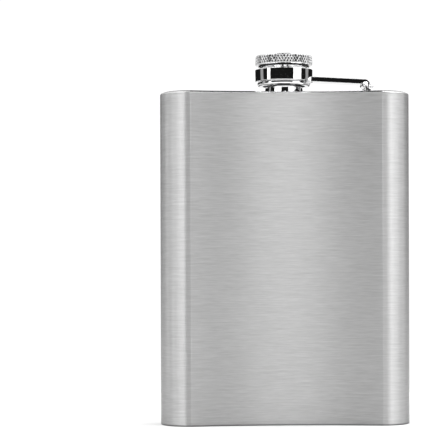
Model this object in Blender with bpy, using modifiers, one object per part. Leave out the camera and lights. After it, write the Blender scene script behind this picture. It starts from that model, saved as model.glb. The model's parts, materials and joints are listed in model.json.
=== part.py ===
"""Hip flask with a captive screw cap: a curved steel flask of about 230 ml, modelled in metres.

+Z is up, X runs across the width and Y through the thickness. The origin is on the surface that the
flask stands on, at the middle of its outline. The hollow face, which lies against the hip, looks
along -Y. The cap turns in a collar, and the collar hangs on a flat arm that is hinged on the
shoulder, so that the unscrewed cap swings clear of the mouth and stays with the flask.
"""

import math

import bmesh
import bpy
from mathutils import Matrix

# Body. Its section is a band of even thickness, bent along an arc, with half-round edges.
BODY_WIDTH = 0.0950
BODY_THICKNESS = 0.0220
BODY_HEIGHT = 0.1264
BODY_HOLLOW = 0.0030  # how deep the -Y face sinks between its two edges
SHEET = 0.0007
FIT_GAP = 0.0003  # clearance that neighbouring pieces keep
RIM_RADIUS = 0.0010
RIM_LIP = 0.0002  # straight side of a plate's rim, next to its rounded edge
SKIRT_DEPTH = 0.0028  # how far a plate's skirt reaches into the shell

# Heights of the neck, cap and arm are measured from the shoulder's top face.
NECK_RADIUS = 0.00734
NECK_LEAD_RADIUS = 0.0069
NECK_BORE_RADIUS = 0.0060
NECK_HEIGHT = 0.0110
NECK_LEAD_HEIGHT = 0.0024
NECK_FLANGE_RADIUS = 0.0088
NECK_FLANGE_THICKNESS = 0.0008

INSERT_RADIUS = 0.00859
INSERT_BORE_RADIUS = 0.0079
INSERT_BOTTOM = 0.0027
INSERT_TOP = 0.0133
LIP_RADIUS = 0.01005
LIP_HEIGHT = 0.0014

HEAD_RADIUS = 0.0109
HEAD_BOTTOM = 0.0106
HEAD_TOP = 0.0144
HEAD_CHAMFER = 0.0004

COLLAR_RADIUS = 0.0110
COLLAR_BOTTOM = 0.0044
COLLAR_TOP = 0.0090
COLLAR_CHAMFER = 0.0002

GASKET_RADIUS = 0.0076
GASKET_THICKNESS = 0.0010

# Hinge of the arm. The pin lies along Y.
HINGE_REACH = 0.0310  # from the neck's axis to the pin's
HINGE_HEIGHT = 0.0032
PIN_RADIUS = 0.0005
PIN_HEAD_RADIUS = 0.00095
PIN_HEAD_THICKNESS = 0.0006
KNUCKLE_RADIUS = 0.0017
KNUCKLE_BORE_RADIUS = 0.0008
ARM_WIDTH = 0.0068
ARM_THICKNESS = 0.0014
ARM_SLOPE = math.radians(2.8)
EAR_THICKNESS = 0.0008
EAR_RADIUS = 0.00125
TAIL_RADIUS = 0.00095
TAIL_X = 0.0021  # from the pin's axis
TAIL_Z = -0.0010
TAB_THICKNESS = 0.0006

ROUND_STEPS = 64
SMALL_ROUND_STEPS = 24
FACE_STEPS = 26
EDGE_STEPS = 18
RIM_STEPS = 4
SPARE = 0.0010  # how far a cutter runs past what it cuts

# The arc that the middle of the section follows, worked out from the chord and the hollow.
HALF_CHORD = (BODY_WIDTH - BODY_THICKNESS) / 2
MIDDLE_RADIUS = (HALF_CHORD**2 + BODY_HOLLOW**2) / (2 * BODY_HOLLOW)
HALF_ANGLE = math.asin(HALF_CHORD / MIDDLE_RADIUS)
NECK_Y = BODY_HOLLOW / 2
ARC_CENTRE_Y = NECK_Y - MIDDLE_RADIUS

STEEL = (0.66, 0.66, 0.65)
POLISHED = (0.82, 0.82, 0.83)
RUBBER = (0.86, 0.86, 0.84)


def clear_scene():
    for found in list(bpy.data.objects):
        bpy.data.objects.remove(found, do_unlink=True)


def new_collection(name):
    made = bpy.data.collections.new(name)
    bpy.context.scene.collection.children.link(made)
    return made


def new_material(name, colour, roughness, metallic=1.0):
    made = bpy.data.materials.new(name)
    made.use_nodes = True
    shader = made.node_tree.nodes["Principled BSDF"]
    shader.inputs["Base Color"].default_value = (*colour, 1.0)
    shader.inputs["Roughness"].default_value = roughness
    shader.inputs["Metallic"].default_value = metallic
    made.diffuse_color = (*colour, 1.0)
    return made


def add_part(name, mesh, material, parent):
    made = bpy.data.objects.new(name, mesh)
    made.parent = parent
    bpy.data.collections["hip_flask"].objects.link(made)
    mesh.materials.append(material)
    return made


def add_cutter(name, mesh, parent):
    made = bpy.data.objects.new(name, mesh)
    made.parent = parent
    made.hide_render = True
    made.display_type = "WIRE"
    bpy.data.collections["cutters"].objects.link(made)
    return made


def add_frame(name, location, parent=None):
    """An empty that pieces hang on, at the point that they turn about or are measured from."""
    made = bpy.data.objects.new(name, None)
    made.empty_display_size = 0.005
    made.location = location
    made.parent = parent
    bpy.data.collections["hip_flask"].objects.link(made)
    return made


def add_boolean(target, other, operation):
    step = target.modifiers.new(f"{operation.lower()}_{other.name}", "BOOLEAN")
    step.object = other
    step.operation = operation
    step.solver = "EXACT"


def finished_mesh(name, shape, angle=30):
    """A mesh from a bmesh, with its faces pointing out and its round sides shaded smooth."""
    bmesh.ops.recalc_face_normals(shape, faces=shape.faces)
    mesh = bpy.data.meshes.new(name)
    shape.to_mesh(mesh)
    shape.free()
    mesh.shade_smooth()
    mesh.set_sharp_from_angle(angle=math.radians(angle))
    return mesh


def arc_points(centre, radius, start, end, steps):
    """Points along an arc in a plane, both ends included, with angles in degrees."""
    return [
        (
            centre[0] + radius * math.cos(math.radians(start + (end - start) * step / steps)),
            centre[1] + radius * math.sin(math.radians(start + (end - start) * step / steps)),
        )
        for step in range(steps + 1)
    ]


def section_outline(inset):
    """The flask's section, moved inwards by inset, as points round it."""
    bend = math.degrees(HALF_ANGLE)
    points = []
    for way in (1, -1):
        half_thickness = BODY_THICKNESS / 2 - inset
        face = arc_points(
            (0, ARC_CENTRE_Y),
            MIDDLE_RADIUS + way * half_thickness,
            90 + way * bend,
            90 - way * bend,
            FACE_STEPS,
        )
        edge_centre = (way * HALF_CHORD, ARC_CENTRE_Y + MIDDLE_RADIUS * math.cos(HALF_ANGLE))
        start = way * (90 - bend)
        edge = arc_points(edge_centre, half_thickness, start, start - 180, EDGE_STEPS)
        points += face[:-1] + edge[:-1]
    return points


def sectioned_mesh(name, profile, closed):
    """A body that has the flask's section at every level. The profile lists insets and heights."""
    shape = bmesh.new()
    rings = []
    for inset, height in profile:
        rings.append([shape.verts.new((x, y, height)) for x, y in section_outline(inset)])
    following = rings[1:] + rings[:1] if closed else rings[1:]
    for ring, next_ring in zip(rings, following):
        for i in range(len(ring)):
            shape.faces.new((ring[i - 1], ring[i], next_ring[i], next_ring[i - 1]))
    if not closed:
        shape.faces.new(rings[0])
        shape.faces.new(rings[-1])
    return finished_mesh(name, shape)


def turned_part(name, profile, material, parent, closed, steps=ROUND_STEPS):
    """A turned piece about its parent's Z. The profile lists radii and heights down its outside."""
    points = [(radius, 0, height) for radius, height in profile]
    edges = [(i, i + 1) for i in range(len(points) - 1)]
    if closed:
        edges.append((len(points) - 1, 0))
    mesh = bpy.data.meshes.new(name)
    mesh.from_pydata(points, edges, [])
    made = add_part(name, mesh, material, parent)
    turn = made.modifiers.new("turn", "SCREW")
    turn.axis = "Z"
    turn.angle = 2 * math.pi
    turn.steps = steps
    turn.render_steps = steps
    turn.use_merge_vertices = True
    turn.merge_threshold = 0.00001
    turn.use_smooth_shade = True
    return made


def cylinder_mesh(name, radius, length, axis, steps=SMALL_ROUND_STEPS):
    """A cylinder through the origin, along Z or Y."""
    shape = bmesh.new()
    bmesh.ops.create_cone(
        shape, cap_ends=True, segments=steps, radius1=radius, radius2=radius, depth=length
    )
    if axis == "Y":
        quarter_turn = Matrix.Rotation(math.pi / 2, 4, "X")
        bmesh.ops.transform(shape, matrix=quarter_turn, verts=shape.verts)
    return finished_mesh(name, shape)


def extruded_mesh(name, outline, axis, low, high):
    """An outline swept along X or Y. Its points are (y, z) or (x, z)."""
    shape = bmesh.new()
    if axis == "X":
        ring = [shape.verts.new((low, across, up)) for across, up in outline]
        travel = (high - low, 0, 0)
    else:
        ring = [shape.verts.new((across, low, up)) for across, up in outline]
        travel = (0, high - low, 0)
    face = shape.faces.new(ring)
    moved = bmesh.ops.extrude_face_region(shape, geom=[face], use_keep_orig=True)
    far_side = [found for found in moved["geom"] if isinstance(found, bmesh.types.BMVert)]
    bmesh.ops.translate(shape, verts=far_side, vec=travel)
    return finished_mesh(name, shape)


def rounded_rim(height, way):
    """A plate's edge from its flat face out to its side, as (inset, height). Way is 1 for upwards."""
    steps = [math.pi / 2 * step / RIM_STEPS for step in range(RIM_STEPS + 1)]
    return [
        (
            RIM_RADIUS * (1 - math.sin(angle)),
            height + way * RIM_RADIUS * (math.cos(angle) - 1),
        )
        for angle in steps
    ]


def plate_profile(height, way):
    """A pressed plate with a rounded rim and a skirt that slips inside the shell."""
    seat = height - way * (RIM_RADIUS + RIM_LIP)
    skirt_inset = SHEET + FIT_GAP
    skirt_end = seat - way * SKIRT_DEPTH
    return rounded_rim(height, way) + [
        (0, seat),
        (skirt_inset, seat),
        (skirt_inset, skirt_end),
        (skirt_inset + SHEET, skirt_end),
        (skirt_inset + SHEET, height - way * SHEET),
    ]


def add_body(steel, flask):
    """The brushed shell, the shoulder and the base."""
    seam = RIM_RADIUS + RIM_LIP + FIT_GAP
    wall = [
        (0, seam),
        (0, BODY_HEIGHT - seam),
        (SHEET, BODY_HEIGHT - seam),
        (SHEET, seam),
    ]
    add_part("body_shell", sectioned_mesh("body_shell", wall, closed=True), steel, flask)
    base = sectioned_mesh("base_plate", plate_profile(0, -1), closed=False)
    add_part("base_plate", base, steel, flask)
    top = sectioned_mesh("shoulder_plate", plate_profile(BODY_HEIGHT, 1), closed=False)
    shoulder = add_part("shoulder_plate", top, steel, flask)
    hole = add_cutter(
        "neck_hole",
        cylinder_mesh("neck_hole", NECK_RADIUS + FIT_GAP, 2 * SPARE, "Z", ROUND_STEPS),
        flask,
    )
    hole.location = (0, NECK_Y, BODY_HEIGHT - SHEET / 2)
    add_boolean(shoulder, hole, "DIFFERENCE")


def add_neck(polished, mouth):
    """The spout: a tube through the shoulder, held by a flange on the inside."""
    flange_top = -SHEET - FIT_GAP
    flange_bottom = flange_top - NECK_FLANGE_THICKNESS
    lead_bottom = NECK_HEIGHT - NECK_LEAD_HEIGHT
    edge = 0.0002
    profile = [
        (NECK_LEAD_RADIUS - edge, NECK_HEIGHT),
        (NECK_LEAD_RADIUS, NECK_HEIGHT - edge),
        (NECK_LEAD_RADIUS, lead_bottom),
        (NECK_RADIUS, lead_bottom - (NECK_RADIUS - NECK_LEAD_RADIUS)),
        (NECK_RADIUS, flange_top),
        (NECK_FLANGE_RADIUS, flange_top),
        (NECK_FLANGE_RADIUS, flange_bottom),
        (NECK_BORE_RADIUS, flange_bottom),
        (NECK_BORE_RADIUS, NECK_HEIGHT),
    ]
    turned_part("neck", profile, polished, mouth, closed=True)


def add_cap(polished, rubber, mouth):
    """The screw cap: a head pressed over a sleeve that holds the gasket and the collar."""
    insert_ceiling = NECK_HEIGHT + FIT_GAP + GASKET_THICKNESS + FIT_GAP
    lip_top = INSERT_BOTTOM + LIP_HEIGHT
    insert = [
        (0, INSERT_TOP),
        (INSERT_RADIUS, INSERT_TOP),
        (INSERT_RADIUS, lip_top),
        (LIP_RADIUS, lip_top),
        (LIP_RADIUS, lip_top - 0.0003),
        (INSERT_RADIUS, INSERT_BOTTOM),
        (INSERT_BORE_RADIUS, INSERT_BOTTOM),
        (INSERT_BORE_RADIUS, insert_ceiling),
        (0, insert_ceiling),
    ]
    turned_part("cap_insert", insert, polished, mouth, closed=False)

    gasket_top = insert_ceiling - FIT_GAP
    gasket = [
        (0, gasket_top),
        (GASKET_RADIUS, gasket_top),
        (GASKET_RADIUS, gasket_top - GASKET_THICKNESS),
        (0, gasket_top - GASKET_THICKNESS),
    ]
    turned_part("cap_gasket", gasket, rubber, mouth, closed=False)

    socket_radius = INSERT_RADIUS + FIT_GAP
    head = [
        (0, HEAD_TOP),
        (HEAD_RADIUS - HEAD_CHAMFER, HEAD_TOP),
        (HEAD_RADIUS, HEAD_TOP - HEAD_CHAMFER),
        (HEAD_RADIUS, HEAD_BOTTOM + HEAD_CHAMFER),
        (HEAD_RADIUS - HEAD_CHAMFER, HEAD_BOTTOM),
        (socket_radius, HEAD_BOTTOM),
        (socket_radius, INSERT_TOP + FIT_GAP),
        (0, INSERT_TOP + FIT_GAP),
    ]
    turned_part("cap_head", head, polished, mouth, closed=False)


def add_collar(polished, mouth):
    """The ring that the cap turns in. Its chamfers are on the outside only."""
    bore_radius = INSERT_RADIUS + FIT_GAP
    profile = [
        (COLLAR_RADIUS - COLLAR_CHAMFER, COLLAR_TOP),
        (COLLAR_RADIUS, COLLAR_TOP - COLLAR_CHAMFER),
        (COLLAR_RADIUS, COLLAR_BOTTOM + COLLAR_CHAMFER),
        (COLLAR_RADIUS - COLLAR_CHAMFER, COLLAR_BOTTOM),
        (bore_radius, COLLAR_BOTTOM),
        (bore_radius, COLLAR_TOP),
    ]
    turned_part("swivel_collar", profile, polished, mouth, closed=True)


def arm_outline():
    """The arm's side view from the pin's axis: a flat bar that ends in a knuckle round the pin."""
    slope = math.degrees(ARM_SLOPE)
    along = (-math.cos(ARM_SLOPE), math.sin(ARM_SLOPE))
    upwards = (math.sin(ARM_SLOPE), math.cos(ARM_SLOPE))
    under = KNUCKLE_RADIUS - ARM_THICKNESS
    # The bar runs past the collar's side, where the collar's shape is cut out of it.
    length = HINGE_REACH - COLLAR_RADIUS + SPARE
    top_angle = 90 - slope
    under_angle = 180 - slope - math.degrees(math.asin(under / KNUCKLE_RADIUS))
    knuckle = arc_points((0, 0), KNUCKLE_RADIUS, top_angle, under_angle - 360, SMALL_ROUND_STEPS)
    bar_ends = [
        (
            length * along[0] + height * upwards[0],
            length * along[1] + height * upwards[1],
        )
        for height in (under, KNUCKLE_RADIUS)
    ]
    return knuckle + bar_ends


def add_arm(polished, hinge):
    """The flat arm between the hinge and the collar."""
    half_width = ARM_WIDTH / 2
    mesh = extruded_mesh("cap_arm", arm_outline(), "Y", -half_width, half_width)
    arm = add_part("cap_arm", mesh, polished, hinge)
    bore = add_cutter(
        "knuckle_bore",
        cylinder_mesh("knuckle_bore", KNUCKLE_BORE_RADIUS, ARM_WIDTH + 2 * SPARE, "Y"),
        hinge,
    )
    add_boolean(arm, bore, "DIFFERENCE")
    saddle = add_cutter(
        "collar_saddle",
        cylinder_mesh("collar_saddle", COLLAR_RADIUS + FIT_GAP, 0.02, "Z", 2 * ROUND_STEPS),
        hinge,
    )
    saddle.location = (-HINGE_REACH, 0, 0)
    add_boolean(arm, saddle, "DIFFERENCE")


def ear_outline():
    """An ear's side view from the pin's axis: a lobe round the pin and a tail behind it."""
    foot = -HINGE_HEIGHT - SPARE
    lobe = arc_points((0, 0), EAR_RADIUS, 230, 15, SMALL_ROUND_STEPS // 2)
    tail = arc_points((TAIL_X, TAIL_Z), TAIL_RADIUS, 60, -30, SMALL_ROUND_STEPS // 4)
    tail_side = TAIL_X + TAIL_RADIUS
    return lobe + tail + [(tail_side, foot), (-EAR_RADIUS / 3, foot)]


def add_bracket(polished, hinge):
    """A folded sheet bracket: a channel as wide as the two ears, trimmed to their side view."""
    inner = ARM_WIDTH / 2 + FIT_GAP
    outer = inner + EAR_THICKNESS
    bottom = FIT_GAP - HINGE_HEIGHT
    floor = bottom + TAB_THICKNESS
    top = 2 * EAR_RADIUS
    channel = [
        (-outer, bottom),
        (outer, bottom),
        (outer, top),
        (inner, top),
        (inner, floor),
        (-inner, floor),
        (-inner, top),
        (-outer, top),
    ]
    reach = 2 * (TAIL_X + TAIL_RADIUS)
    mesh = extruded_mesh("hinge_bracket", channel, "X", -reach, reach)
    bracket = add_part("hinge_bracket", mesh, polished, hinge)
    sides = extruded_mesh("ear_sides", ear_outline(), "Y", -outer - SPARE, outer + SPARE)
    add_boolean(bracket, add_cutter("ear_sides", sides, hinge), "INTERSECT")
    holes = cylinder_mesh("pin_holes", KNUCKLE_BORE_RADIUS, 2 * outer + 2 * SPARE, "Y")
    add_boolean(bracket, add_cutter("pin_holes", holes, hinge), "DIFFERENCE")


def add_pin(polished, hinge):
    """The rivet that the arm swings on, with a domed head at each end."""
    shank_end = ARM_WIDTH / 2 + EAR_THICKNESS + 2 * FIT_GAP
    dome = [
        (
            PIN_HEAD_RADIUS * math.sin(math.pi / 2 * step / RIM_STEPS),
            shank_end + PIN_HEAD_THICKNESS * math.cos(math.pi / 2 * step / RIM_STEPS),
        )
        for step in range(RIM_STEPS + 1)
    ]
    upper = dome + [(PIN_RADIUS, shank_end)]
    lower = [(radius, -height) for radius, height in reversed(upper)]
    pin = turned_part("hinge_pin", upper + lower, polished, hinge, False, SMALL_ROUND_STEPS)
    pin.rotation_euler = (math.pi / 2, 0, 0)


def main():
    clear_scene()
    new_collection("hip_flask")
    new_collection("cutters")
    steel = new_material("brushed_steel", STEEL, 0.35)
    polished = new_material("polished_steel", POLISHED, 0.08)
    rubber = new_material("silicone_rubber", RUBBER, 0.6, metallic=0.0)

    flask = add_frame("flask_frame", (0, 0, 0))
    mouth = add_frame("mouth_axis", (0, NECK_Y, BODY_HEIGHT), flask)
    hinge = add_frame("hinge_axis", (HINGE_REACH, 0, HINGE_HEIGHT), mouth)
    add_body(steel, flask)
    add_neck(polished, mouth)
    add_bracket(polished, hinge)
    add_pin(polished, hinge)
    add_arm(polished, hinge)

    # The cap and its collar hang on the hinge, so that turning it swings them.
    swung_mouth = add_frame("cap_axis", (-HINGE_REACH, 0, -HINGE_HEIGHT), hinge)
    add_collar(polished, swung_mouth)
    add_cap(polished, rubber, swung_mouth)


main()
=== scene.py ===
"""The looks of the hip flask: a brushed curved shell, polished ends and a captive knurled cap.

Lengths are in metres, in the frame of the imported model. Heights on the shoulder are measured from
its top face, and the neck, the cap and the collar are turned about one axis above it.
"""

import json
import math

import bmesh
import bpy
import numpy as np
from mathutils import Matrix, Vector


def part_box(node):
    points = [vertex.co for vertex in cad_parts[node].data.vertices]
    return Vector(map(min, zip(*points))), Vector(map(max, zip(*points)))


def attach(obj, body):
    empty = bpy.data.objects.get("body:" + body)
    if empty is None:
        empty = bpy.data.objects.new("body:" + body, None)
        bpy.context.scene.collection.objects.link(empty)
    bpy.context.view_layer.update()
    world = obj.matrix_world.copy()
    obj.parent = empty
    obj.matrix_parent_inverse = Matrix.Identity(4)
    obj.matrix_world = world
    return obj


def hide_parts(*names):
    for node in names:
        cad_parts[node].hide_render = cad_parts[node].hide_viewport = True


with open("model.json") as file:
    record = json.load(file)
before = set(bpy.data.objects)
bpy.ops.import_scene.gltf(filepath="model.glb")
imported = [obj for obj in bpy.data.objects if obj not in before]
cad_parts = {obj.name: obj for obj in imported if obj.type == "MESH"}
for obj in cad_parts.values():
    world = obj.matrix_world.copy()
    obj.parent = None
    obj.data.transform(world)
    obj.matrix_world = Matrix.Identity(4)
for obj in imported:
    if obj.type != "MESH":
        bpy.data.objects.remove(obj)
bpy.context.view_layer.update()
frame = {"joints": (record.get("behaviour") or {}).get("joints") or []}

# --- Places, from the frame -------------------------------------------------------------------

SHELL_LOW, SHELL_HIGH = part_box("body_shell")
SHOULDER_LOW, SHOULDER_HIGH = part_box("shoulder_plate")
BASE_LOW, BASE_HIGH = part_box("base_plate")
NECK_LOW, NECK_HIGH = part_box("neck")
HEAD_LOW, HEAD_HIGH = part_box("cap_head")
SLEEVE_LOW, SLEEVE_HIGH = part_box("cap_insert")
COLLAR_LOW, COLLAR_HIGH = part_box("swivel_collar")
GASKET_LOW, GASKET_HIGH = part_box("cap_gasket")
ARM_LOW, ARM_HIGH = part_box("cap_arm")
FORK_LOW, FORK_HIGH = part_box("hinge_bracket")
PIN_LOW, PIN_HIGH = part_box("hinge_pin")
SWING = next(joint for joint in frame["joints"] if joint["name"] == "arm_swing")

TOP = SHOULDER_HIGH.z
AXIS_Y = (NECK_LOW.y + NECK_HIGH.y) / 2
PIN = Vector(SWING["pos_m"])
HEAD_RADIUS = (HEAD_HIGH.x - HEAD_LOW.x) / 2
COLLAR_RADIUS = (COLLAR_HIGH.x - COLLAR_LOW.x) / 2

# --- The section and the sheet ----------------------------------------------------------------

WIDTH = SHELL_HIGH.x - SHELL_LOW.x
DEPTH = SHELL_HIGH.y - SHELL_LOW.y
HOLLOW = 0.0030  # how deep the front face sinks
THICKNESS = DEPTH - HOLLOW
HALF_CHORD = (WIDTH - THICKNESS) / 2
MIDDLE_RADIUS = (HALF_CHORD**2 + HOLLOW**2) / (2 * HOLLOW)
HALF_ANGLE = math.asin(HALF_CHORD / MIDDLE_RADIUS)
ARC_CENTRE_Y = HOLLOW / 2 - MIDDLE_RADIUS
EDGE_START = 5.0  # degrees of the round edge that the tight bend takes up
BEND_RADIUS = 0.0020
FACE_STEPS = 48
EDGE_STEPS = 56

SHEET = 0.0007
SKIRT_GAP = 0.0003  # between the shell and a plate's skirt inside it
SHOULDER_RIM = 0.0011
SHOULDER_RIM_ACROSS = 0.0028
BASE_RIM = 0.0005
SEAM_HEIGHT = 0.0003
SEAM_RECESS = 0.00004
SMOOTH_ANGLE = math.radians(35)  # an edge that turns less than this is shaded smooth

# --- Turned pieces ----------------------------------------------------------------------------

NECK_RADIUS = 0.00734
NECK_BORE = 0.0060
THREAD_PITCH = 0.0016
THREAD_RUN_OUT = 0.0005
THREAD_CREST = 0.18  # half of a thread's crest, and half of its foot, as shares of the pitch
THREAD_FOOT = 0.38
SLEEVE_RADIUS = 0.00859
LIP_HEIGHT = 0.0014
SHADOW_RING_HEIGHT = 0.00060
HEAD_CHAMFER = 0.00042
HEAD_DOME = 0.00012
HEAD_DRAFT = math.tan(math.radians(1.5))
KNURL_STARTS = 60
KNURL_ANGLE = math.radians(31)
KNURL_DEPTH = 0.00011
KNURL_HALF_WIDTH = 0.1875  # half of a groove, as a share of the distance between grooves
KNURL_STEPS = 16
KNURL_SMOOTH_ANGLE = math.radians(20)
KNURL_INNER = HEAD_RADIUS - 0.98 * HEAD_CHAMFER


# --- Shapes -----------------------------------------------------------------------------------


def new_piece(name, shape):
    """A mesh object from a bmesh, its faces turned outwards and its smooth sides shaded smooth."""
    bmesh.ops.remove_doubles(shape, verts=shape.verts, dist=1e-7)
    bmesh.ops.recalc_face_normals(shape, faces=shape.faces)
    mesh = bpy.data.meshes.new(name)
    shape.to_mesh(mesh)
    shape.free()
    mesh.shade_smooth()
    mesh.set_sharp_from_angle(angle=SMOOTH_ANGLE)
    piece = bpy.data.objects.new(name, mesh)
    bpy.context.scene.collection.objects.link(piece)
    return piece


def smooth(share):
    """A share from 0 to 1, eased at both ends."""
    return share * share * (3 - 2 * share)


def quarter(steps):
    """The sine and the cosine at equal steps through a right angle."""
    angles = [math.pi / 2 * step / steps for step in range(steps + 1)]
    return [(math.sin(angle), math.cos(angle)) for angle in angles]


def arc(centre, radius, start, end, steps):
    """Points on an arc, between angles in degrees."""
    angles = [math.radians(start + (end - start) * step / steps) for step in range(steps + 1)]
    return [
        (centre[0] + radius * math.cos(angle), centre[1] + radius * math.sin(angle))
        for angle in angles
    ]


def spiral(centre, first, last, start, end, steps):
    """Points on an arc whose radius closes in from first to last over half a turn."""
    points = []
    for step in range(steps + 1):
        turned_by = (end - start) * step / steps
        share = min(1.0, abs(turned_by) / 180)
        radius = first + (last - first) * smooth(share)
        points += arc(centre, radius, start + turned_by, 0, 1)[:1]
    return points


def rounded(corners, closed=False, steps=5):
    """A profile from corners (u, v, radius), with an arc at each corner that has a radius."""
    points = []
    count = len(corners)
    for i, (u, v, radius) in enumerate(corners):
        corner = Vector((u, v))
        if radius == 0 or (not closed and i in (0, count - 1)):
            points.append((u, v))
            continue
        before = Vector(corners[i - 1][:2]) - corner
        after = Vector(corners[(i + 1) % count][:2]) - corner
        half = before.angle(after) / 2
        reach = min(radius / math.tan(half), 0.49 * before.length, 0.49 * after.length)
        radius = reach * math.tan(half)
        middle = (before.normalized() + after.normalized()).normalized()
        centre = corner + middle * (radius / math.sin(half))
        start = corner + before.normalized() * reach - centre
        end = corner + after.normalized() * reach - centre
        first = math.atan2(start.y, start.x)
        turn = math.atan2(end.y, end.x) - first
        turn = (turn + math.pi) % (2 * math.pi) - math.pi
        points += arc(centre, radius, math.degrees(first), math.degrees(first + turn), steps)
    return points


def skin(name, rings, closed=False):
    """A surface through rings of equal counts of points. A ring of one point closes an end."""
    shape = bmesh.new()
    made = [[shape.verts.new(point) for point in ring] for ring in rings]
    following = made[1:] + made[:1] if closed else made[1:]
    for ring, next_ring in zip(made, following):
        count = max(len(ring), len(next_ring))
        for i in range(count):
            corners = []
            for vert in (
                ring[(i - 1) % len(ring)],
                ring[i % len(ring)],
                next_ring[i % len(next_ring)],
                next_ring[(i - 1) % len(next_ring)],
            ):
                if vert not in corners:
                    corners.append(vert)
            shape.faces.new(corners)
    if not closed:
        for ring in (made[0], made[-1]):
            if len(ring) > 1:
                shape.faces.new(ring)
    return new_piece(name, shape)


def section(inset, height):
    """A ring of points round the flask's section, moved inwards by inset, at a height.

    Both faces bow towards the back, and the round edges meet the front face in a tight bend.
    """
    half = THICKNESS / 2 - inset
    lean = math.degrees(HALF_ANGLE)
    middle = (0, ARC_CENTRE_Y)
    edge_centre = (HALF_CHORD, ARC_CENTRE_Y + MIDDLE_RADIUS * math.cos(HALF_ANGLE))
    front = arc(middle, MIDDLE_RADIUS - half, 90, 90 - lean, FACE_STEPS)
    edge = arc(edge_centre, half, EDGE_START - 90, 90 - lean, EDGE_STEPS)
    back = arc(middle, MIDDLE_RADIUS + half, 90 - lean, 90, FACE_STEPS)
    corner = half / math.cos(math.radians((EDGE_START + lean) / 2))
    meeting = arc(edge_centre, corner, (EDGE_START - lean) / 2 - 90, 0, 1)[0]
    bend = max(BEND_RADIUS - inset, SHEET / 2)
    bent = rounded([(*front[-1], 0), (*meeting, bend), (*edge[0], 0)], steps=4)
    right = front[:-1] + bent + edge[1:-1] + back
    ring = right + [(-x, y) for x, y in right[-2:0:-1]]
    return [(x, y, height) for x, y in ring]


def sectioned(name, profile, closed=False):
    """A piece that follows the flask's section, from (inset, height)."""
    return skin(name, [section(inset, height) for inset, height in profile], closed)


def turned(name, profile, steps, closed=False, relief=None):
    """A piece turned about the neck's axis, from (radius, height above the shoulder).

    relief(angle, radius, height) gives the radius where threads or a knurl are cut.
    """
    rings = []
    for radius, height in profile:
        if radius < 1e-6:
            rings.append([(0, AXIS_Y, TOP + height)])
            continue
        ring = []
        for step in range(steps):
            angle = 2 * math.pi * step / steps
            cut = relief(angle, radius, height) if relief else radius
            ring.append((cut * math.cos(angle), AXIS_Y + cut * math.sin(angle), TOP + height))
        rings.append(ring)
    return skin(name, rings, closed)


def turned_across(name, profile, x, z, steps=48):
    """A piece turned about an axis that runs front to back, from (radius, y)."""
    rings = []
    for radius, along in profile:
        count = steps if radius > 1e-7 else 1
        angles = [2 * math.pi * step / count for step in range(count)]
        rings.append(
            [
                (x + radius * math.cos(angle), AXIS_Y + along, z + radius * math.sin(angle))
                for angle in angles
            ]
        )
    return skin(name, rings)


def drill(piece, radius, depth, height, segments):
    """Cuts an upright round hole on the neck's axis out of a piece."""
    shape = bmesh.new()
    bmesh.ops.create_cone(
        shape, cap_ends=True, segments=segments, radius1=radius, radius2=radius, depth=depth
    )
    bmesh.ops.translate(shape, verts=shape.verts, vec=(0, AXIS_Y, height))
    tool = new_piece(piece.name + "_drill", shape)
    cut = piece.modifiers.new("hole", "BOOLEAN")
    cut.object = tool
    cut.operation = "DIFFERENCE"
    graph = bpy.context.evaluated_depsgraph_get()
    mesh = bpy.data.meshes.new_from_object(piece.evaluated_get(graph))
    mesh.set_sharp_from_angle(angle=SMOOTH_ANGLE)
    piece.modifiers.clear()
    piece.data = mesh
    bpy.data.objects.remove(tool)


def above(point):
    """A height above the shoulder, from a corner of a box in the frame."""
    return point.z - TOP


def round_axis(point):
    """A point's distance from the neck's axis, and its angle round it."""
    across, away = point.x, point.y - AXIS_Y
    return math.hypot(across, away), math.atan2(away, across) % (2 * math.pi)


# --- Materials --------------------------------------------------------------------------------


class Nodes:
    """A node tree, with short calls for the nodes that the looks and the world use."""

    def __init__(self, tree):
        self.tree = tree

    def add(self, kind, **values):
        made = self.tree.nodes.new(kind)
        for key, value in values.items():
            setattr(made, key, value)
        return made

    def link(self, source, target):
        self.tree.links.new(source, target)

    def place(self, output):
        """The coordinates of the point that is shaded, in one of the node's systems."""
        return self.add("ShaderNodeTexCoord").outputs[output]

    def parts(self, vector):
        """The outputs X, Y and Z of a vector."""
        split = self.add("ShaderNodeSeparateXYZ")
        self.link(vector, split.inputs["Vector"])
        return split.outputs

    def maths(self, operation, *values):
        made = self.add("ShaderNodeMath", operation=operation)
        for socket, value in zip(made.inputs, values):
            if isinstance(value, (int, float)):
                socket.default_value = value
            else:
                self.link(value, socket)
        return made.outputs["Value"]

    def ranged(self, value, low, high, start=0.3, end=0.7, interpolation="LINEAR"):
        """value, taken from start..end to low..high."""
        made = self.add("ShaderNodeMapRange", interpolation_type=interpolation)
        made.inputs["From Min"].default_value = start
        made.inputs["From Max"].default_value = end
        made.inputs["To Min"].default_value = low
        made.inputs["To Max"].default_value = high
        self.link(value, made.inputs["Value"])
        return made.outputs["Result"]


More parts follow.
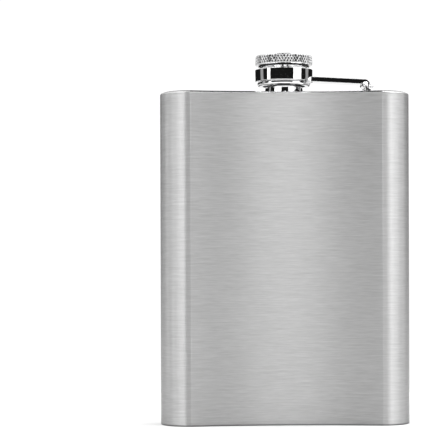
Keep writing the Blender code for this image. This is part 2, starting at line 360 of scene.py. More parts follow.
class Look(Nodes):
    """A material with a Principled shader."""

    def __init__(self, name, metallic):
        self.material = bpy.data.materials.new(name)
        self.material.use_nodes = True
        super().__init__(self.material.node_tree)
        self.shader = self.tree.nodes["Principled BSDF"]
        self.shader.inputs["Metallic"].default_value = metallic

    def noise(self, scale, detail=3.0, roughness=0.55):
        """Noise over the object, with a scale for each axis, in features a metre."""
        stretch = self.add("ShaderNodeMapping")
        stretch.inputs["Scale"].default_value = scale
        made = self.add("ShaderNodeTexNoise")
        made.inputs["Scale"].default_value = 1.0
        made.inputs["Detail"].default_value = detail
        made.inputs["Roughness"].default_value = roughness
        self.link(self.place("Object"), stretch.inputs["Vector"])
        self.link(stretch.outputs["Vector"], made.inputs["Vector"])
        return made.outputs["Fac"]

    def shaded(self, colour, factor):
        """A colour times a factor that varies over the surface."""
        made = self.add("ShaderNodeMix", data_type="RGBA", blend_type="MULTIPLY")
        made.inputs["Factor"].default_value = 1.0
        made.inputs["A"].default_value = (*colour, 1.0)
        self.link(factor, made.inputs["B"])
        return made.outputs["Result"]

    def set(self, socket, value):
        if isinstance(value, (int, float)):
            self.shader.inputs[socket].default_value = value
        else:
            self.link(value, self.shader.inputs[socket])

    def bump(self, height, distance, strength=1.0):
        made = self.add("ShaderNodeBump")
        made.inputs["Distance"].default_value = distance
        made.inputs["Strength"].default_value = strength
        self.link(height, made.inputs["Height"])
        self.link(made.outputs["Normal"], self.shader.inputs["Normal"])


def brushed_steel(name, colour, roughness, anisotropy, foot=0.0):
    """Satin steel with its grain along the width: fine lines, longer ones and smudges.

    Below the height of foot its colour is darkened towards the bottom: painted shade that stands in
    for the contact shadow where it stands on the floor.
    """
    look = Look(name, 1.0)
    fine = look.noise((200, 200, 2700), 2.0)
    long_lines = look.noise((80, 80, 1500), 3.0, 0.65)
    smudges = look.noise((28, 28, 40), 3.0)
    grain = look.maths(
        "ADD", look.maths("MULTIPLY", fine, 0.5), look.maths("MULTIPLY", long_lines, 0.5)
    )
    shade = look.maths(
        "MULTIPLY", look.ranged(grain, 0.83, 1.10), look.ranged(smudges, 0.985, 1.01)
    )
    # Painted shade: the colour darkens towards the bottom edge, in place of the contact shadow at
    # the floor.
    if foot:
        height = look.parts(look.place("Object"))["Z"]
        shade = look.maths("MULTIPLY", shade, look.ranged(height, 0.3, 1.0, 0.3 * foot, foot))
    look.set("Base Color", look.shaded(colour, shade))
    rough = look.maths(
        "ADD",
        look.ranged(grain, roughness - 0.05, roughness + 0.05),
        look.ranged(smudges, -0.012, 0.012),
    )
    look.set("Roughness", rough)
    look.set("Anisotropic", anisotropy)
    look.set("Anisotropic Rotation", 0.25)
    along = look.add("ShaderNodeTangent", direction_type="RADIAL", axis="Z")
    look.link(along.outputs["Tangent"], look.shader.inputs["Tangent"])
    look.bump(grain, 0.00001, 0.5)
    return look.material


def polished_steel(name, colour, roughness, wear=1.0):
    """Polished steel with smudges, hairline scratches and the faint waves of buffing."""
    look = Look(name, 1.0)
    smudges = look.noise((260, 260, 260), 4.0)
    hairlines = look.noise((400, 400, 9000), 2.0)
    waves = look.noise((520, 520, 420), 1.0)
    look.set("Base Color", look.shaded(colour, look.ranged(smudges, 0.965, 1.0)))
    rough = look.maths(
        "ADD",
        look.ranged(smudges, roughness * 0.6, roughness * 1.5),
        look.ranged(hairlines, 0.0, 0.012 * wear, 0.55, 0.75),
    )
    look.set("Roughness", rough)
    relief = look.maths("ADD", waves, look.maths("MULTIPLY", hairlines, 0.02 * wear))
    look.bump(relief, 0.00005, 0.35 * wear)
    return look.material


def knurled_steel(name, colour):
    """Polished steel whose cut grooves are darker and duller than the crests: the darkening is grime
    and painted shade in the grooves.
    """
    look = Look(name, 1.0)
    depth = look.add("ShaderNodeAttribute", attribute_name="groove").outputs["Fac"]
    smudges = look.noise((300, 300, 300), 3.0)
    # Darker in the grooves: partly grime, partly painted shade where the grooves lie in shadow.
    grime_and_shade = look.ranged(depth, 1.0, 0.15, 0.4, 0.95)
    shade = look.maths("MULTIPLY", grime_and_shade, look.ranged(smudges, 0.95, 1.0))
    look.set("Base Color", look.shaded(colour, shade))
    dull = look.ranged(depth, 0.05, 0.22, 0.0, 1.0)
    look.set("Roughness", look.maths("ADD", dull, look.ranged(smudges, -0.02, 0.03)))
    look.bump(smudges, 0.000002, 0.3)
    return look.material


def silicone(name, colour, gloss=0.5):
    """A soft moulded rubber with a faint mottle."""
    look = Look(name, 0.0)
    look.set("Specular IOR Level", gloss)
    mottle = look.noise((500, 500, 500), 4.0)
    look.set("Base Color", look.shaded(colour, look.ranged(mottle, 0.93, 1.0)))
    look.set("Roughness", look.ranged(mottle, 0.42, 0.6))
    look.set("Subsurface Weight", 0.15)
    look.set("Subsurface Scale", 0.001)
    look.bump(mottle, 0.00001, 0.3)
    return look.material


BRUSHED = brushed_steel("brushed_steel", (0.56, 0.56, 0.56), 0.38, 1.0)
# Brushed steel painted darker towards its bottom edge, as shade where the base meets the floor.
SHADED_FOOT = brushed_steel("foot_steel_painted_shade", (0.56, 0.56, 0.56), 0.38, 1.0, foot=0.0008)
PLATE = polished_steel("plate_steel", (0.66, 0.66, 0.66), 0.13, 0.3)
POLISHED = polished_steel("polished_steel", (0.86, 0.86, 0.865), 0.045)
# Near-black steel: painted shade in the gap under the sleeve's lip, inside the sleeve and at the
# arm's joint to the collar.
PAINTED_SHADE_STEEL = polished_steel("painted_shade_steel", (0.09, 0.09, 0.09), 0.35)
KNURLED = knurled_steel("knurled_steel", (0.64, 0.64, 0.645))
SILICONE = silicone("silicone", (0.86, 0.86, 0.83))
# Near-black: the ring under the knurled head, a painted shadow line.
SHADOW_BLACK = silicone("painted_shadow_black", (0.006, 0.006, 0.006), 0.2)


def fit(piece, body, material, slot, *nodes):
    """Gives a piece its material and its body, and hides the CAD nodes that it stands for."""
    piece.data.materials.append(material)
    weigh = piece.modifiers.new("weigh", "WEIGHTED_NORMAL")
    weigh.keep_sharp = True
    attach(piece, body)
    if nodes:
        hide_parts(*nodes)


def finish_faces(piece, material, chosen):
    """Gives the chosen faces of a piece a second finish."""
    piece.data.materials.append(material)
    for face in piece.data.polygons:
        if chosen(face):
            face.material_index = 1


# --- The body ---------------------------------------------------------------------------------


def make_shell():
    low, high = SHELL_LOW.z, SHELL_HIGH.z
    edge = 0.00006
    wall = rounded([(0, low, edge), (0, high, edge), (SHEET, high, edge), (SHEET, low, edge)], True)
    fit(sectioned("shell", wall, closed=True), "flask", BRUSHED, "brushed_body", "body_shell")


def plate_profile(face, seat, skirt_end, way, rim, across):
    """A pressed plate: its flat face, its rounded rim, the seat on the shell and the skirt.

    The rim is rim high and across wide, and way is 1 for a plate that faces up.
    """
    flat = 0.0001
    inner = SHEET + SKIRT_GAP
    underside = face - way * SHEET
    bend = [
        (across * (1 - sine), face - way * rim * (1 - cosine)) for sine, cosine in quarter(14)
    ]
    skirt = rounded(
        [
            (*bend[-1], 0),
            (0, seat, 0.00006),
            (inner, seat, 0),
            (inner, skirt_end, 0.0002),
            (inner + SHEET, skirt_end, 0.0002),
            (inner + SHEET, underside, 0.0003),
            (inner + SHEET + 0.001, underside, 0),
        ],
        steps=10,
    )
    return [(across + flat, face)] + bend[:-1] + skirt


def make_base():
    seat = SHELL_LOW.z - SEAM_HEIGHT
    profile = plate_profile(BASE_LOW.z, seat, BASE_HIGH.z, -1, BASE_RIM, BASE_RIM)
    base = sectioned("base", profile)
    fit(base, "flask", PLATE, "polished_plates", "base_plate")
    polished_above = 0.92
    # The base's rounded sides take the steel painted darker at the bottom, as contact shadow at the
    # floor.
    finish_faces(base, SHADED_FOOT, lambda face: abs(face.normal.z) < polished_above)


def make_shoulder():
    seat = SHELL_HIGH.z + SEAM_HEIGHT
    profile = plate_profile(TOP, seat, SHOULDER_LOW.z, 1, SHOULDER_RIM, SHOULDER_RIM_ACROSS)
    plate = sectioned("shoulder", profile)
    clearance = 0.0002
    drill(plate, NECK_RADIUS + clearance, 0.004, TOP, 128)
    fit(plate, "flask", PLATE, "polished_plates", "shoulder_plate")

    def brushed(face):
        """The side, and the rim up to a slope that is flatter round the two ends."""
        polished_above = 0.9 if abs(face.center.x) > HALF_CHORD else 0.64
        return abs(face.normal.z) < polished_above

    finish_faces(plate, BRUSHED, brushed)


def make_seams():
    """The ground weld that fills the joint between the shell and each plate."""
    slack = 0.00001
    for name, bottom in (
        ("shoulder_seam", SHELL_HIGH.z),
        ("base_seam", SHELL_LOW.z - SEAM_HEIGHT),
    ):
        low, high = bottom + slack, bottom + SEAM_HEIGHT - slack
        ring = rounded(
            [
                (SEAM_RECESS, low, 0.00003),
                (SEAM_RECESS, high, 0.00003),
                (SHEET, high, 0),
                (SHEET, low, 0),
            ],
            closed=True,
            steps=3,
        )
        fit(sectioned(name, ring, closed=True), "flask", BRUSHED, "polished_plates")


# --- The neck ---------------------------------------------------------------------------------


def thread_relief(root, crest, low, high):
    """A thread that winds up between two heights: the radius at an angle and a height."""

    def relief(angle, radius, height):
        if not low < height < high:
            return radius
        fade = min(1.0, (height - low) / THREAD_RUN_OUT, (high - height) / THREAD_RUN_OUT)
        turn = (height / THREAD_PITCH - angle / (2 * math.pi)) % 1.0
        flank = (THREAD_FOOT - abs(turn - 0.5)) / (THREAD_FOOT - THREAD_CREST)
        ridge = smooth(max(0.0, min(1.0, flank)))
        return root + (crest - root) * ridge * fade

    return relief


def thread_rows(root, low, high, row_height):
    """A profile's points from low to high, close enough together to carry a thread."""
    rows = int((high - low) / row_height)
    return [(root, low + (high - low) * row / rows) for row in range(rows + 1)]


def make_neck():
    height, bottom = above(NECK_HIGH), above(NECK_LOW)
    flange = (NECK_HIGH.x - NECK_LOW.x) / 2
    flange_top = bottom + 0.0008
    lead = 0.00672
    root, crest = NECK_RADIUS - 0.0005, NECK_RADIUS - 0.00005
    thread_low, thread_high = 0.0029, 0.0086
    mouth = rounded(
        [
            (NECK_BORE, height - 0.003, 0),
            (NECK_BORE, height, 0.0002),
            (lead, height, 0.0003),
            (lead, thread_high + 0.0002, 0.0001),
            (root, thread_high, 0),
        ]
    )
    threaded = thread_rows(root, thread_low, thread_high, 0.00009)
    foot = rounded(
        [
            (root, thread_low, 0),
            (root, thread_low - 0.0001, 0),
            (NECK_RADIUS - 0.00035, thread_low - 0.0003, 0.0002),
            (NECK_RADIUS, 0.0, 0),
            (NECK_RADIUS, flange_top, 0.0001),
            (flange, flange_top, 0.0001),
            (flange, bottom, 0.0002),
            (NECK_BORE, bottom, 0.0002),
            (NECK_BORE, bottom + 0.001, 0),
        ]
    )
    profile = mouth[:-1] + threaded[::-1] + foot[1:]
    relief = thread_relief(root, crest, thread_low, thread_high)
    neck = turned("spout", profile, 160, closed=True, relief=relief)
    fit(neck, "flask", POLISHED, "polished_fittings", "neck")

    fillet = 0.00025
    curve = [
        (NECK_RADIUS + fillet * (1 - cosine), fillet * (1 - sine)) for sine, cosine in quarter(8)
    ]
    weld = turned("spout_weld", curve + [(NECK_RADIUS, -0.0001)], 128, closed=True)
    fit(weld, "flask", POLISHED, "polished_fittings")


# --- The cap ----------------------------------------------------------------------------------


def knurl_groove(angle, height):
    """How deep the knurl is cut at a point, from 0 on a crest to 1 in a groove."""
    lead = math.tan(KNURL_ANGLE) / HEAD_RADIUS / (2 * math.pi)
    around = angle / (2 * math.pi) * KNURL_STARTS
    climb = height * lead * KNURL_STARTS
    nearest = min(abs((around + way * climb + 0.5) % 1.0 - 0.5) for way in (1, -1))
    return max(0.0, 1.0 - nearest / KNURL_HALF_WIDTH)


def crease_knurl(head):
    """Splits each four-sided face of the knurl along the way that its groove or crest runs."""
    shape = bmesh.new()
    shape.from_mesh(head.data)
    first_way, second_way = [], []
    for face in shape.faces:
        if len(face.verts) != 4 or abs(face.normal.z) > 0.9:
            continue
        reach = [round_axis(vert.co)[0] for vert in face.verts]
        if min(reach) < KNURL_INNER:
            continue
        middle = face.calc_center_median()
        depth = KNURL_DEPTH * knurl_groove(round_axis(middle)[1], middle.z - TOP)
        wanted = HEAD_RADIUS - depth - HEAD_DRAFT * (middle.z - HEAD_LOW.z)
        first = abs((reach[0] + reach[2]) / 2 - wanted)
        second = abs((reach[1] + reach[3]) / 2 - wanted)
        (first_way if first <= second else second_way).append(face)
    for faces, start in ((first_way, 0), (second_way, 1)):
        for face in faces:
            bmesh.utils.face_split(face, face.verts[start], face.verts[start + 2])
    shape.to_mesh(head.data)
    shape.free()
    head.data.shade_smooth()
    head.data.set_sharp_from_angle(angle=KNURL_SMOOTH_ANGLE)


def mark_grooves(head):
    """Stores how deep each point of the knurl is, for its material."""
    depth = head.data.attributes.new("groove", "FLOAT", "POINT")
    values = np.zeros(len(head.data.vertices), np.float32)
    for vert in head.data.vertices:
        reach, angle = round_axis(vert.co)
        if reach > KNURL_INNER:
            values[vert.index] = knurl_groove(angle, vert.co.z - TOP)
    depth.data.foreach_set("value", values)


def make_head():
    radius = HEAD_RADIUS
    low, high = above(HEAD_LOW), above(HEAD_HIGH)
    edge = high - HEAD_DOME
    domed = 0.85  # the share of the radius that the dome covers
    top = [
        (radius * share, high - HEAD_DOME * share**2) for share in (0, 0.25, 0.5, 0.7, domed)
    ]
    rim = rounded(
        [
            (*top[-1], 0),
            (radius - HEAD_CHAMFER - 0.0004, edge, 0.0003),
            (radius - HEAD_CHAMFER, edge - 0.00004, 0),
        ],
        steps=3,
    )
    row_height = 2 * math.pi * radius / KNURL_STARTS / KNURL_STEPS / math.tan(KNURL_ANGLE)
    side_low, side_high = low + 0.15 * HEAD_CHAMFER, edge - 0.15 * HEAD_CHAMFER
    rows = range(math.floor(side_high / row_height), math.ceil(side_low / row_height) - 1, -1)
    side = [(radius, row_height * row) for row in rows]
    side = [(radius, side_high)] + side + [(radius, side_low)]
    foot = radius - HEAD_CHAMFER
    recess, ceiling, socket = low + 0.00035, above(SLEEVE_HIGH) + 0.0003, 0.0087
    under = rounded(
        [
            (foot, low, 0),
            (foot - 0.0001, low, 0),
            (foot - 0.0006, low, 0.0001),
            (foot - 0.0009, recess, 0.0001),
            (socket, recess, 0.0001),
            (socket, ceiling, 0.0001),
            (0, ceiling, 0),
        ],
        steps=3,
    )

    def relief(angle, point_radius, height):
        """The side's radius: chamfered at both ends, drafted, and cut by the grooves."""
        if point_radius < radius:
            return point_radius
        chamfered = radius - max(
            0.0, HEAD_CHAMFER - (edge - height), HEAD_CHAMFER - (height - low)
        )
        drafted = radius - HEAD_DRAFT * (height - low)
        return min(chamfered, drafted - KNURL_DEPTH * knurl_groove(angle, height))

    steps = KNURL_STARTS * KNURL_STEPS
    head = turned("knurled_head", top + rim[1:] + side + under, steps, relief=relief)
    crease_knurl(head)
    mark_grooves(head)
    fit(head, "cap", KNURLED, "knurled_cap", "cap_head")


def make_sleeve():
    """The threaded sleeve: a shoulder under the black shadow ring, a waist, and the lip below the
    collar.
    """
    radius = SLEEVE_RADIUS
    lip = (SLEEVE_HIGH.x - SLEEVE_LOW.x) / 2
    low, high = above(SLEEVE_LOW), above(SLEEVE_HIGH)
    under, lip_top = low + 0.00005, low + LIP_HEIGHT
    ceiling = above(GASKET_HIGH) + 0.0001
    shadow_ring_low = above(HEAD_LOW) - SHADOW_RING_HEIGHT
    crest, root = 0.00762, 0.00805
    thread_low, thread_high = low + 0.0007, ceiling - 0.0016
    outside = rounded(
        [
            (0, high, 0),
            (radius, high, 0.0003),
            (radius, shadow_ring_low + 0.0001, 0),
            (radius + 0.0009, shadow_ring_low, 0),
            (radius - 0.00002, shadow_ring_low - 0.0003, 0.0003),
            (radius + 0.0001, shadow_ring_low - 0.0012, 0.0001),
            (radius + 0.00005, lip_top, 0.00015),
            (lip, lip_top, 0.0001),
            (lip, under, 0.0009),
            (root, under, 0.0001),
            (root, thread_low, 0),
        ],
        steps=6,
    )
    threaded = thread_rows(root, thread_low, thread_high, 0.0001)[1:]
    inside = [(root, ceiling), (0, ceiling)]
    thread = thread_relief(root, crest, thread_low, thread_high)

    def relief(angle, point_radius, height):
        """The thread, on the inside only."""
        return thread(angle, point_radius, height) if point_radius <= root + 1e-9 else point_radius

    sleeve = turned("threaded_sleeve", outside + threaded + inside, 160, relief=relief)
    fit(sleeve, "cap", POLISHED, "polished_fittings", "cap_insert")

    def painted_shade_faces(face):
        """The threads, and the part of the lip that faces down: near-black painted shade for the
        shadowed gap under the lip and inside the sleeve.
        """
        reach = round_axis(face.center)[0]
        on_lip = reach > lip - 0.00085 and face.center.z < TOP + lip_top
        return (on_lip and face.normal.z < -0.62) or reach < root + 0.0002

    finish_faces(sleeve, PAINTED_SHADE_STEEL, painted_shade_faces)


def make_gasket():
    """The sealing disc, with a ring pressed into the face that meets the neck."""
    radius = (GASKET_HIGH.x - GASKET_LOW.x) / 2
    low, high = above(GASKET_LOW), above(GASKET_HIGH)
    pressed = low + 0.00018
    profile = rounded(
        [
            (0, high, 0),
            (radius, high, 0.0002),
            (radius, low, 0.0002),
            (radius - 0.0006, low, 0.0001),
            (radius - 0.0008, pressed, 0.0001),
            (radius - 0.0018, pressed, 0.0001),
            (radius - 0.0020, low, 0.0001),
            (0, low, 0),
        ]
    )
    fit(turned("sealing_disc", profile, 96), "cap", SILICONE, "gasket", "cap_gasket")


def make_shadow_ring():
    """A thin black ring between the knurled head and the sleeve's shoulder: painted shadow that
    stands in for the dark shadow line under the head.
    """
    inner, outer = 0.0086, 0.0097
    high = above(HEAD_LOW) - 0.00001
    low = above(HEAD_LOW) - SHADOW_RING_HEIGHT
    edge = 0.00008
    profile = [(outer, high, edge), (outer, low, edge), (inner, low, 0), (inner, high, 0)]
    ring = turned("head_shadow_ring", rounded(profile, closed=True), 160, closed=True)
    fit(ring, "cap", SHADOW_BLACK, "gasket")


def make_collar():
    low, high = above(COLLAR_LOW), above(COLLAR_HIGH)
    bore = 0.0088
    draft = 0.00012
    profile = rounded(
        [
            (COLLAR_RADIUS, high, 0.0002),
            (COLLAR_RADIUS - draft, low, 0.00012),
            (bore, low, 0.00025),
            (bore, high, 0.00025),
        ],
        closed=True,
        steps=8,
    )
    ring = turned("swivel_ring", profile, 192, closed=True)
    fit(ring, "arm", POLISHED, "polished_fittings", "swivel_collar")


# --- The arm and its hinge --------------------------------------------------------------------


def inset_outline(points, amount):
    """An outline moved inwards along the bisector of each corner."""
    moved = []
    count = len(points)
    turning = sum(
        points[i - 1][0] * points[i][1] - points[i][0] * points[i - 1][1] for i in range(count)
    )
    way = 1 if turning > 0 else -1
    for i in range(count):
        before = Vector(points[i]) - Vector(points[i - 1])
        after = Vector(points[(i + 1) % count]) - Vector(points[i])
        normal = (
            Vector((-before.y, before.x)).normalized() + Vector((-after.y, after.x)).normalized()
        )
        normal = normal.normalized() * way
        moved.append((points[i][0] + normal.x * amount, points[i][1] + normal.y * amount))
    return moved


def side_ring(outline, y):
    """A side view (x, z), placed at a distance y from the neck's axis."""
    return [(x, AXIS_Y + y, z) for x, z in outline]


def edge_rounded(name, outline, half, edge, steps=4):
    """A side view carried half its width to the front and to the back, with rounded edges."""
    layers = [(edge * (1 - sine), edge * (1 - cosine)) for sine, cosine in quarter(steps)]
    rings = [side_ring(inset_outline(outline, inset), across - half) for inset, across in layers]
    rings += [
        side_ring(inset_outline(outline, inset), half - across) for inset, across in layers[::-1]
    ]
    return skin(name, rings)


ARM_SLOPE = math.radians(2.8)
ARM_HALF_WIDTH = (ARM_HIGH.y - ARM_LOW.y) / 2
ARM_OVER = 0.00195  # the arm's upper and under face, as heights over a line through the pin
ARM_UNDER = 0.00022
ARM_ALONG = Vector((-math.cos(ARM_SLOPE), math.sin(ARM_SLOPE)))
ARM_UPWARDS = Vector((math.sin(ARM_SLOPE), math.cos(ARM_SLOPE)))


def on_arm(along, upwards):
    """A point (x, z) on the arm, from its distance from the pin and its height over it."""
    return Vector((PIN.x, PIN.z)) + ARM_ALONG * along + ARM_UPWARDS * upwards


def arm_outline(length):
    """The arm's side view, with its end rolled round the pin."""
    centre = (PIN.x, PIN.z)
    curled, inner = 0.0013, 0.00055
    slit = 0.00006
    start = 90 - math.degrees(ARM_SLOPE)
    curl_end = 188 - math.degrees(math.asin((inner - slit) / curled)) - 360
    outline = spiral(centre, ARM_OVER, curled, start, curl_end, 44)
    outline += arc(centre, inner, curl_end + 14, start, 30)
    for along, upwards in (
        (0.0012, inner), (0.0019, ARM_UNDER), (length, ARM_UNDER), (length, ARM_OVER)
    ):
        outline.append(tuple(on_arm(along, upwards)))
    return outline


def make_arm():
    sunk = 0.001  # the arm is cut to the collar's side, so it starts inside
    length = PIN.x - COLLAR_RADIUS + sunk
    strap = edge_rounded("strap", arm_outline(length), ARM_HALF_WIDTH, 0.00005)
    drill(strap, COLLAR_RADIUS + 0.00004, 0.02, PIN.z, 256)
    fit(strap, "arm", POLISHED, "polished_fittings", "cap_arm")
    make_arm_weld(length)


def make_arm_weld(length):
    """A fillet of weld all round the arm's end, following the side of the collar."""
    middle = on_arm(length, (ARM_OVER + ARM_UNDER) / 2)
    half_height = (ARM_OVER - ARM_UNDER) / 2
    fillet = 0.00014
    overlap = 0.00003
    rings = []
    for sine, cosine in quarter(6):
        grow = fillet * (1 - sine)
        reach = fillet * (1 - cosine) + overlap
        y, z = ARM_HALF_WIDTH + grow, half_height + grow
        corners = [(-y, -z), (y, -z), (y, z), (-y, z)]
        loop = rounded([(*corner, 0.0002 + grow) for corner in corners], closed=True, steps=6)
        rings.append(
            [
                (
                    math.sqrt((COLLAR_RADIUS - 0.00005) ** 2 - across**2) + reach,
                    AXIS_Y + across,
                    middle.y + upwards,
                )
                for across, upwards in loop
            ]
        )
    # The weld is near-black: painted shade where the arm meets the collar.
    fit(skin("strap_weld", rings), "arm", PAINTED_SHADE_STEEL, "polished_fittings")


def button(radius, low, high, way):
    """A domed profile (radius, y) between two distances from the middle, on one side of it."""
    dome = [
        (radius * sine, way * (low + (high - low) * cosine)) for sine, cosine in quarter(10)
    ]
    return dome + [(0, way * low)]


def ear_outline(inset):
    """The side view of an ear: a lobe round the pin that narrows to its foot."""
    lobe = arc((PIN.x, PIN.z), 0.00105 - inset, 215, -35, 30)
    half = 0.00030 - 0.26 * inset
    middle, foot = PIN.x + 0.0004, TOP + 0.0001
    neck = PIN.z - 0.0019
    spread = foot + 0.0004
    return lobe + [
        (middle + half, neck),
        (middle + 2 * half, spread),
        (middle + 2 * half, foot),
        (middle - 2 * half, foot),
        (middle - 2 * half, spread),
        (middle - half, neck),
    ]


def make_fork():
    """The folded bracket: two domed ears round the pin, each with a tail, on one tab."""
    outer_y = (FORK_HIGH.y - FORK_LOW.y) / 2
    inner_y = outer_y - 0.0008
    dome_inset, dome_rise = 0.0008, 0.0004
    tail_radius, tail_aside, tail_down = 0.00098, 0.0020, 0.0010
    for name, way, nodes in (("front", -1, ("hinge_bracket",)), ("back", 1, ())):
        rings = [side_ring(ear_outline(0), way * inner_y)]
        for sine, cosine in quarter(8):
            outline = ear_outline(dome_inset * (1 - cosine))
            rings.append(side_ring(outline, way * (outer_y - dome_rise * (1 - sine))))
        ear = skin("fork_ear_" + name, rings)
        fit(ear, "flask", POLISHED, "polished_fittings", *nodes)
        knob = button(tail_radius, inner_y, outer_y, way)
        tail = turned_across("fork_tail_" + name, knob, PIN.x + tail_aside, PIN.z - tail_down)
        fit(tail, "flask", POLISHED, "polished_fittings")

    left, right = PIN.x - 0.00042, PIN.x + 0.00305
    low, high = TOP + 0.0001, TOP + 0.0007
    tab = rounded(
        [(left, low, 0.00008), (right, low, 0.00008), (right, high, 0.00025), (left, high, 0.00025)],
        closed=True,
    )
    floor = edge_rounded("fork_tab", tab, inner_y - 0.00001, 0.00005)
    fit(floor, "flask", POLISHED, "polished_fittings")


def make_rivet():
    half = (PIN_HIGH.y - PIN_LOW.y) / 2
    head, shank = 0.00065, 0.0005
    shank_end = (FORK_HIGH.y - FORK_LOW.y) / 2 + 0.00002
    upper = button(head, shank_end, half, 1)[:-1] + [(shank, shank_end)]
    profile = upper + [(radius, -along) for radius, along in upper[::-1]]
    rivet = turned_across("rivet", profile, PIN.x, PIN.z)
    fit(rivet, "flask", POLISHED, "polished_fittings", "hinge_pin")


# --- The studio -------------------------------------------------------------------------------

CAMERA_DISTANCE = 0.615
CAMERA_ASIDE = 0.0246
EYE_LEVEL = 0.0585
FLASK_YAW = math.radians(1.74)
FLASK_ROLL = math.radians(-0.18)
LENS = 128.97
SHIFT = 0.1042
LIGHT_CENTRE = Vector((0, 0, 0.09))
LIGHT_DISTANCE = 3.0
CARD_DISTANCE = 1.2
STRIP = 11  # the angular width of a strip of light, in degrees
ROOM_DARK = 0.010
ROOM_STRIPS = 0.35
ROOM_BACKDROP = 0.6
CAMERA_WHITE = 1.05
FLOOR_LIGHT = 0.05
FLOOR_HALF = 1.5
FLOOR_BACK = 0.16


def make_camera():
    data = bpy.data.cameras.new("camera")
    data.lens = LENS
    data.sensor_width = 36.0
    data.shift_y = SHIFT
    data.clip_start = 0.01
    data.clip_end = 50.0
    camera = bpy.data.objects.new("camera", data)
    bpy.context.scene.collection.objects.link(camera)
    ahead = Vector((math.sin(FLASK_YAW), math.cos(FLASK_YAW), 0))
    right = Vector((math.cos(FLASK_YAW), -math.sin(FLASK_YAW), 0))
    camera.location = -CAMERA_DISTANCE * ahead - CAMERA_ASIDE * right + Vector((0, 0, EYE_LEVEL))
    facing = ahead.to_track_quat("-Z", "Y").to_matrix().to_4x4()
    tilt = Matrix.Rotation(FLASK_ROLL, 4, "Z")
    camera.rotation_euler = (facing @ tilt).to_euler()
    bpy.context.scene.camera = camera


def add_panel(name, azimuth, elevation, wide, high, radiance, distance=LIGHT_DISTANCE):
    """A lit panel that faces the flask. Azimuth 0 is in front of the flask and 90 on its right.

    The angles are in degrees, and wide and high are the panel's angular size from the flask.
    """
    data = bpy.data.lights.new(name, "AREA")
    data.shape = "RECTANGLE"
    data.size = 2 * distance * math.tan(math.radians(wide) / 2)
    data.size_y = 2 * distance * math.tan(math.radians(high) / 2)
    data.energy = radiance * math.pi * data.size * data.size_y
    lamp = bpy.data.objects.new(name, data)
    bpy.context.scene.collection.objects.link(lamp)
    turn, lift = math.radians(azimuth), math.radians(elevation)
    away = Vector(
        (math.sin(turn) * math.cos(lift), -math.cos(turn) * math.cos(lift), math.sin(lift))
    )
    lamp.location = LIGHT_CENTRE + away * distance
    lamp.rotation_euler = (-away).to_track_quat("-Z", "Y").to_euler()
    lamp.visible_camera = False


def make_lights():
    """Tall soft panels from the front round to the back, and two low cards for the cap."""
    for number, azimuth in enumerate((-58.5, -47.5, -36.5, -25.5)):
        add_panel(f"left_key_{number}", azimuth, 44, STRIP, 54, 2.15)
    add_panel("front_key", 5.5, 51, STRIP, 46, 3.3)
    for number, (azimuth, radiance) in enumerate(
        ((29.5, 1.5), (40.5, 2.25), (51.5, 2.3), (62.5, 1.35), (74, 1.1))
    ):
        add_panel(f"right_key_{number}", azimuth, 44, STRIP, 54, radiance)
    for name, azimuth, elevation, wide, radiance in (
        ("left_fill", -90, 50, 28, 1.55),
        ("left_rear_fill", -117, 50, 26, 2.2),
        ("left_rim", -146, 44, 22, 1.2),
        ("right_fill", 92, 50, 24, 2.85),
        ("right_rear_fill", 117, 50, 26, 2.6),
        ("right_rim", 146, 44, 22, 1.3),
    ):
        add_panel(name, azimuth, elevation, wide, 50, radiance)
    add_panel("left_card", -67, 3.76, 14, 11.3, 1.8, CARD_DISTANCE)
    add_panel("right_card", 52.5, 3.76, 35, 11.3, 1.8, CARD_DISTANCE)


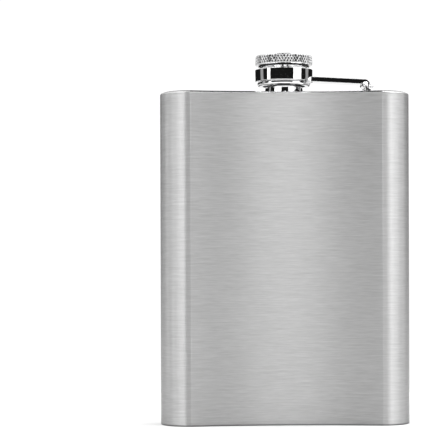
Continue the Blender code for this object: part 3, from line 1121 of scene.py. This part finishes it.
def make_world():
    """A white backdrop behind the flask, and a dark room round it that only reflections see.

    The limits below are parts of a direction of length 1, which points out into the room.
    """
    world = bpy.data.worlds.new("studio")
    bpy.context.scene.world = world
    world.use_nodes = True
    world.node_tree.nodes.clear()
    nodes = Nodes(world.node_tree)

    def beyond(value, start, end, full=1.0):
        """0 where value is under start, and full where it is over end."""
        return nodes.ranged(value, 0.0, full, start, end, "SMOOTHSTEP")

    direction = nodes.parts(nodes.place("Generated"))
    aside = nodes.maths("ABSOLUTE", direction["X"])
    behind = direction["Y"]
    below = nodes.maths("MULTIPLY", direction["Z"], -1.0)
    strips = nodes.maths(
        "MULTIPLY", beyond(aside, 0.91, 0.93, ROOM_STRIPS), beyond(behind, 0.06, 0.10)
    )
    backdrop = nodes.maths(
        "MULTIPLY", beyond(behind, 0.48, 0.62, ROOM_BACKDROP), beyond(direction["Z"], 0.22, 0.34)
    )
    backdrop = nodes.maths("MULTIPLY", backdrop, beyond(aside, 0.34, 0.46))
    room = nodes.maths("ADD", nodes.maths("ADD", strips, backdrop), ROOM_DARK)
    room = nodes.maths("MAXIMUM", room, beyond(below, 0.0, 0.01))

    paths = nodes.add("ShaderNodeLightPath").outputs
    seen = nodes.maths("MULTIPLY", paths["Is Camera Ray"], CAMERA_WHITE - FLOOR_LIGHT)
    strength = nodes.add("ShaderNodeMix")
    nodes.link(paths["Is Glossy Ray"], strength.inputs["Factor"])
    nodes.link(nodes.maths("ADD", seen, FLOOR_LIGHT), strength.inputs["A"])
    nodes.link(room, strength.inputs["B"])
    background = nodes.add("ShaderNodeBackground")
    background.inputs["Color"].default_value = (1, 1, 1, 1)
    nodes.link(strength.outputs["Result"], background.inputs["Strength"])
    output = nodes.add("ShaderNodeOutputWorld")
    nodes.link(background.outputs["Background"], output.inputs["Surface"])


def make_floor():
    shape = bmesh.new()
    bmesh.ops.create_grid(shape, x_segments=1, y_segments=1, size=FLOOR_HALF)
    bmesh.ops.translate(shape, verts=shape.verts, vec=(0, FLOOR_BACK - FLOOR_HALF, 0))
    floor = new_piece("floor", shape)
    look = Look("floor_paper", 0.0)
    grain = look.noise((90, 90, 90), 3.0)
    look.set("Base Color", look.shaded((0.78, 0.78, 0.78), look.ranged(grain, 0.99, 1.0)))
    look.set("Roughness", look.ranged(grain, 0.75, 0.85))
    look.set("Specular IOR Level", 0.2)
    floor.data.materials.append(look.material)


bpy.context.scene.view_settings.view_transform = "Standard"
make_camera()
make_world()
make_lights()
make_floor()
make_shell()
make_base()
make_shoulder()
make_seams()
make_neck()
make_head()
make_sleeve()
make_gasket()
make_shadow_ring()
make_collar()
make_arm()
make_fork()
make_rivet()
